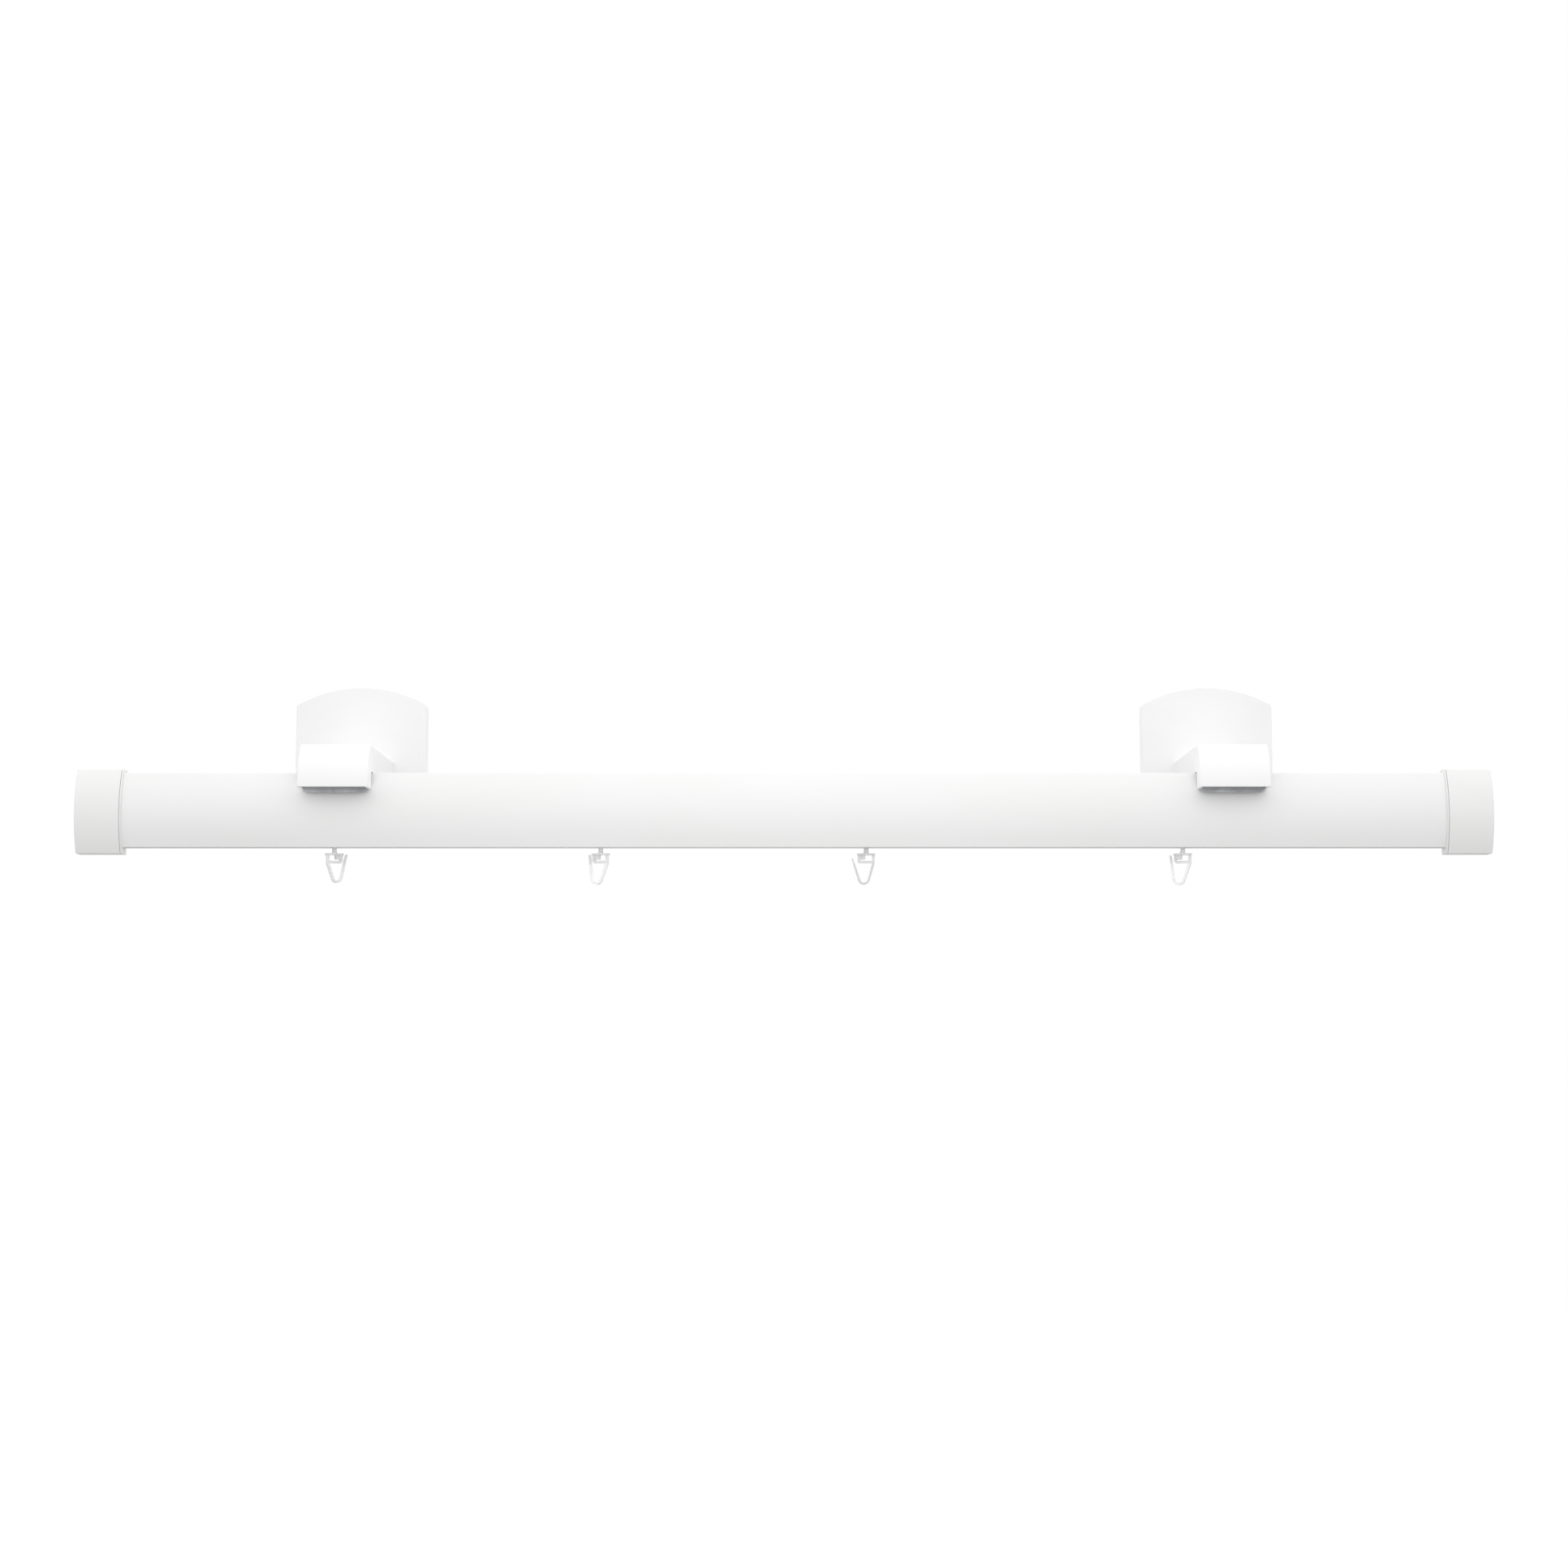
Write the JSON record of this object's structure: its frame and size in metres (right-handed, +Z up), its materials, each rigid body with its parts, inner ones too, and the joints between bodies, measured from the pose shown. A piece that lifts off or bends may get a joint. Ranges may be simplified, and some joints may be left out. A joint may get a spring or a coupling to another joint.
{
  "type": "curtain rod with brackets",
  "caption": "Wide white wall-mounted curtain rod: a slotted rail on hooded brackets with arched wall plates, square end caps and sliding, swivelling curtain hooks.",
  "frame": {"origin": "on the wall plane, at the centre of the four holes for the wall screws, midway between the brackets", "axes": "+X along the rod to the right as seen from the room, +Y into the wall, +Z up"},
  "size_m": [1, 0.136, 0.1558],
  "materials": {
    "rail_paint": "satin white powder coat",
    "cap_plastic": "satin moulded white plastic",
    "cover_plastic": "satin moulded white plastic",
    "plated_steel": "zinc plated steel",
    "glider_plastic": "plain white slippery plastic",
    "hook_plastic": "slightly translucent milky plastic"
  },
  "bodies": {
    "wall_brackets": {"left_wall_plate": "plated_steel", "left_plate_cover": "cover_plastic", "left_arm": "plated_steel", "left_arm_bolts": "plated_steel", "left_arm_cover": "cover_plastic", "left_rail_clamp": "plated_steel", "left_clamp_screws": "plated_steel", "right_wall_plate": "plated_steel", "right_plate_cover": "cover_plastic", "right_arm": "plated_steel", "right_arm_bolts": "plated_steel", "right_arm_cover": "cover_plastic", "right_rail_clamp": "plated_steel", "right_clamp_screws": "plated_steel"},
    "rail": {"rail_profile": "rail_paint", "left_end_plug": "cap_plastic", "left_end_cap": "cap_plastic", "right_end_plug": "cap_plastic", "right_end_cap": "cap_plastic"},
    "glider_1": {"glider_1": "glider_plastic"},
    "hook_1": {"hook_1": "hook_plastic"},
    "glider_2": {"glider_2": "glider_plastic"},
    "hook_2": {"hook_2": "hook_plastic"},
    "glider_3": {"glider_3": "glider_plastic"},
    "hook_3": {"hook_3": "hook_plastic"},
    "glider_4": {"glider_4": "glider_plastic"},
    "hook_4": {"hook_4": "hook_plastic"}
  },
  "joints": [
    {"name": "rail_slide", "type": "slide", "parent": "wall_brackets", "child": "rail", "axis": [1, 0, 0], "range_m": [-0.12, 0.12]},
    {"name": "glider_1_slide", "type": "slide", "parent": "rail", "child": "glider_1", "axis": [1, 0, 0], "range_m": [-0.127, 0.084]},
    {"name": "hook_1_swivel", "type": "hinge", "parent": "glider_1", "child": "hook_1", "pos_m": [-0.318, -0.1082, -0.0744], "axis": [0, 0, 1], "continuous": true},
    {"name": "glider_2_slide", "type": "slide", "parent": "rail", "child": "glider_2", "axis": [1, 0, 0], "range_m": [-0.0804, 0.0821]},
    {"name": "hook_2_swivel", "type": "hinge", "parent": "glider_2", "child": "hook_2", "pos_m": [-0.1296, -0.1082, -0.0744], "axis": [0, 0, 1], "continuous": true},
    {"name": "glider_3_slide", "type": "slide", "parent": "rail", "child": "glider_3", "axis": [1, 0, 0], "range_m": [-0.0816, 0.0989]},
    {"name": "hook_3_swivel", "type": "hinge", "parent": "glider_3", "child": "hook_3", "pos_m": [0.0581, -0.1082, -0.0744], "axis": [0, 0, 1], "continuous": true},
    {"name": "glider_4_slide", "type": "slide", "parent": "rail", "child": "glider_4", "axis": [1, 0, 0], "range_m": [-0.101, 0.163]},
    {"name": "hook_4_swivel", "type": "hinge", "parent": "glider_4", "child": "hook_4", "pos_m": [0.282, -0.1082, -0.0744], "axis": [0, 0, 1], "continuous": true}
  ]
}
